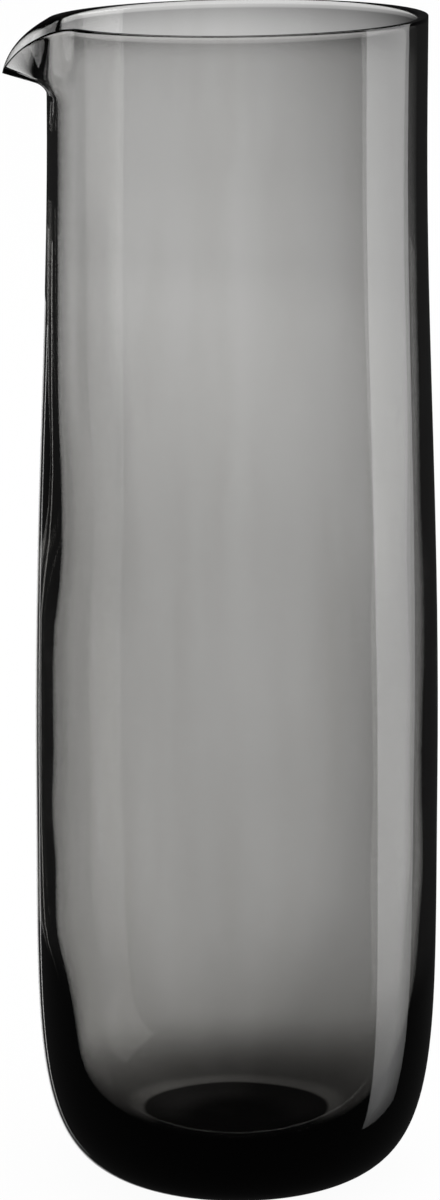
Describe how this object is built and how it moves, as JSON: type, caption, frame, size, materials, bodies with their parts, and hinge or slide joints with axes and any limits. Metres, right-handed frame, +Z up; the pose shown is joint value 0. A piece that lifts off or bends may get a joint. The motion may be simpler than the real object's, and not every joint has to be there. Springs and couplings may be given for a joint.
{
  "type": "water carafe",
  "caption": "Tall, slightly barrel-shaped water carafe in smoke-grey glass, with a thick rounded base, a thin rim and a pulled pouring spout.",
  "frame": {"origin": "centre of the flat standing face under the base, on the axis of the body", "axes": "+Z up along the axis of the body, -X towards the spout"},
  "size_m": [0.0962, 0.0902, 0.261],
  "materials": {
    "smoke_glass": "clear smoke-grey tinted glass, fire-polished"
  },
  "bodies": {
    "root": {"glass_body": "smoke_glass"}
  },
  "joints": []
}
